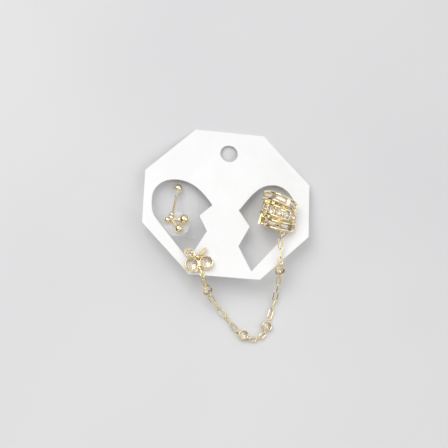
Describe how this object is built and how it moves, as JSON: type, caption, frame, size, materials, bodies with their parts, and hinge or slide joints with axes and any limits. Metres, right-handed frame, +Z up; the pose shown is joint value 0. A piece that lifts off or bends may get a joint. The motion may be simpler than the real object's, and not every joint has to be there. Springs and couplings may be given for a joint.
{
  "type": "ear chain earring pair on a display card",
  "caption": "Cherry stud and three-row ear cuff joined by a fine chain with set stones, with its small mate stud, on a display card with two windows.",
  "frame": {"origin": "on the ground under the middle of the bounding box", "axes": "+Z up, +Y from the chain to the hang hole end of the card, +X to the right of the card seen from above"},
  "size_m": [0.06, 0.0752, 0.0146],
  "materials": {
    "card": "smooth white card",
    "film": "clear thin film",
    "gold": "bright polished pale gold plate",
    "stone": "clear cut stone",
    "silicone": "clear soft silicone"
  },
  "bodies": {
    "root": {"display_card": "card", "clear_film": "film", "cuff_frame": "gold", "top_baguette_1": "stone", "top_baguette_2": "stone", "top_baguette_3": "stone", "middle_stone_1": "stone", "middle_stone_2": "stone", "middle_stone_3": "stone", "middle_stone_4": "stone", "middle_stone_5": "stone", "bottom_baguette_1": "stone", "bottom_baguette_2": "stone", "bottom_baguette_3": "stone", "bottom_baguette_4": "stone", "cherry_stud": "gold", "cherry_stone_1": "stone", "cherry_stone_2": "stone", "leaf_stones": "stone", "stud_back_ball": "gold", "jump_ring_1": "gold", "jump_ring_2": "gold", "jump_ring_3": "gold", "jump_ring_4": "gold", "jump_ring_5": "gold", "jump_ring_6": "gold", "jump_ring_7": "gold", "chain_link_1": "gold", "chain_link_2": "gold", "chain_link_3": "gold", "chain_link_4": "gold", "chain_link_5": "gold", "chain_link_6": "gold", "chain_link_7": "gold", "chain_link_8": "gold", "chain_link_9": "gold", "chain_link_10": "gold", "chain_link_11": "gold", "chain_link_12": "gold", "bezel_1": "gold", "bezel_2": "gold", "bezel_3": "gold", "bezel_4": "gold", "bezel_stone_1": "stone", "bezel_stone_2": "stone", "bezel_stone_3": "stone", "bezel_stone_4": "stone", "second_stud": "gold", "second_stud_back_ball": "gold", "second_stud_disc": "silicone", "second_stud_clutch": "silicone"}
  },
  "joints": []
}
